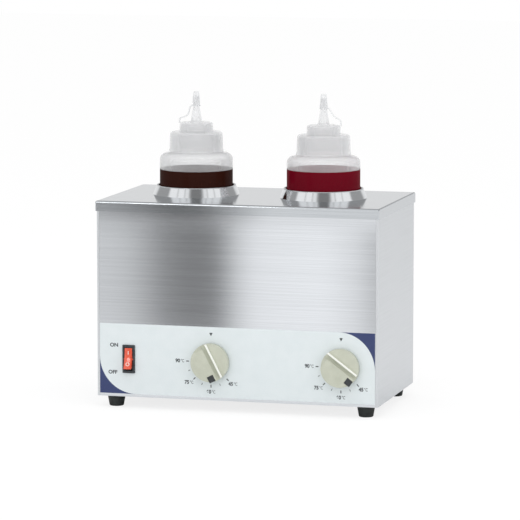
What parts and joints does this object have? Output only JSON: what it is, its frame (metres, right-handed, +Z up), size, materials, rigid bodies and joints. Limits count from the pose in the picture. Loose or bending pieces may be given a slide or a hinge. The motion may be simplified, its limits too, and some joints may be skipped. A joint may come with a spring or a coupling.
{
  "type": "hot topping warmer",
  "caption": "Stainless bottle warmer with heated wells, squeeze bottles of topping, a rocker switch and thermostat knobs.",
  "frame": {"origin": "on the table under the middle of the whole object's box, between the four feet", "axes": "+Z up, +X to the right seen from the front, -Y towards the front with the knobs"},
  "size_m": [0.3226, 0.2056, 0.346],
  "materials": {
    "brushed_stainless": "stainless sheet brushed along its length",
    "satin_stainless": "satin stainless sheet",
    "spun_stainless": "spun and polished stainless",
    "drawn_stainless": "drawn stainless, satin",
    "printed_overlay": "printed polycarbonate film",
    "heater_band": "steel-clad mica band",
    "mineral_wool": "mineral wool blanket",
    "plated_steel": "zinc-plated steel",
    "brass": "bare brass",
    "thermostat_housing": "moulded phenolic",
    "copper_tube": "drawn copper",
    "switch_black": "moulded nylon",
    "rocker_red": "translucent red polycarbonate",
    "black_nylon": "moulded nylon",
    "ceramic_block": "glazed steatite",
    "wire_sleeve": "silicone sleeve",
    "knob_beige": "moulded thermoset, satin",
    "pointer_black": "moulded insert",
    "foot_rubber": "moulded rubber",
    "milky_polyethylene": "translucent blown and moulded polyethylene",
    "fudge_sauce": "thick brown topping",
    "berry_sauce": "thick red topping"
  },
  "bodies": {
    "cabinet": {"band_heater_left": "heater_band", "band_heater_right": "heater_band", "base_tray": "satin_stainless", "bulb_clips": "plated_steel", "cable_gland": "black_nylon", "capillary_left": "copper_tube", "capillary_right": "copper_tube", "collar_ring_left": "spun_stainless", "collar_ring_right": "spun_stainless", "control_overlay": "printed_overlay", "earth_stud": "brass", "foot_front_left": "foot_rubber", "foot_front_right": "foot_rubber", "foot_nuts": "plated_steel", "foot_rear_left": "foot_rubber", "foot_rear_right": "foot_rubber", "foot_screws": "plated_steel", "foot_washers": "plated_steel", "front_panel": "brushed_stainless", "gland_nut": "black_nylon", "heater_clamp_bolts": "plated_steel", "heater_terminals": "brass", "insulation_left": "mineral_wool", "insulation_right": "mineral_wool", "lid_plate": "satin_stainless", "lid_screws": "plated_steel", "overheat_cutouts": "thermostat_housing", "rear_panel": "satin_stainless", "rear_panel_screws": "plated_steel", "side_panel_left": "satin_stainless", "side_panel_right": "satin_stainless", "switch_housing": "switch_black", "switch_terminals": "brass", "terminal_block": "ceramic_block", "thermostat_body_left": "thermostat_housing", "thermostat_body_right": "thermostat_housing", "thermostat_screws": "plated_steel", "well_pot_left": "drawn_stainless", "well_pot_right": "drawn_stainless", "wiring_loom": "wire_sleeve"},
    "rocker": {"switch_rocker": "rocker_red"},
    "knob_left": {"knob_left": "knob_beige", "knob_pointer_left": "pointer_black", "thermostat_shaft_left": "plated_steel"},
    "bottle_left": {"bottle_left": "milky_polyethylene", "sauce_left": "fudge_sauce"},
    "bottle_cap_left": {"bottle_cap_left": "milky_polyethylene"},
    "nozzle_left": {"nozzle_left": "milky_polyethylene", "tether_left": "milky_polyethylene"},
    "tip_cover_left": {"tip_cover_left": "milky_polyethylene"},
    "knob_right": {"knob_right": "knob_beige", "knob_pointer_right": "pointer_black", "thermostat_shaft_right": "plated_steel"},
    "bottle_right": {"bottle_right": "milky_polyethylene", "sauce_right": "berry_sauce"},
    "bottle_cap_right": {"bottle_cap_right": "milky_polyethylene"},
    "nozzle_right": {"nozzle_right": "milky_polyethylene", "tether_right": "milky_polyethylene"},
    "tip_cover_right": {"tip_cover_right": "milky_polyethylene"}
  },
  "joints": [
    {"name": "rocker_press", "type": "hinge", "parent": "cabinet", "child": "rocker", "pos_m": [-0.1232, -0.093, 0.0554], "axis": [1, 0, 0], "range_deg": [0, 28]},
    {"name": "knob_left_turn", "type": "hinge", "parent": "cabinet", "child": "knob_left", "pos_m": [-0.0287, -0.09675, 0.0558], "axis": [0, 1, 0], "range_deg": [-171.84, 98.16]},
    {"name": "knob_right_turn", "type": "hinge", "parent": "cabinet", "child": "knob_right", "pos_m": [0.1187, -0.09675, 0.0558], "axis": [0, 1, 0], "range_deg": [-145.64, 124.36]},
    {"name": "bottle_left_lift", "type": "slide", "parent": "cabinet", "child": "bottle_left", "axis": [0, 0, 1], "range_m": [0, 0.16]},
    {"name": "bottle_cap_left_lift", "type": "slide", "parent": "bottle_left", "child": "bottle_cap_left", "axis": [0, 0, 1], "range_m": [0, 0.021]},
    {"name": "nozzle_left_lift", "type": "slide", "parent": "bottle_cap_left", "child": "nozzle_left", "axis": [0, 0, 1], "range_m": [0, 0.0095]},
    {"name": "tip_cover_left_lift", "type": "slide", "parent": "nozzle_left", "child": "tip_cover_left", "axis": [0, 0, 1], "range_m": [0, 0.012], "deforming": ["tether_left"]},
    {"name": "bottle_right_lift", "type": "slide", "parent": "cabinet", "child": "bottle_right", "axis": [0, 0, 1], "range_m": [0, 0.16]},
    {"name": "bottle_cap_right_lift", "type": "slide", "parent": "bottle_right", "child": "bottle_cap_right", "axis": [0, 0, 1], "range_m": [0, 0.021]},
    {"name": "nozzle_right_lift", "type": "slide", "parent": "bottle_cap_right", "child": "nozzle_right", "axis": [0, 0, 1], "range_m": [0, 0.0095]},
    {"name": "tip_cover_right_lift", "type": "slide", "parent": "nozzle_right", "child": "tip_cover_right", "axis": [0, 0, 1], "range_m": [0, 0.012], "deforming": ["tether_right"]}
  ]
}
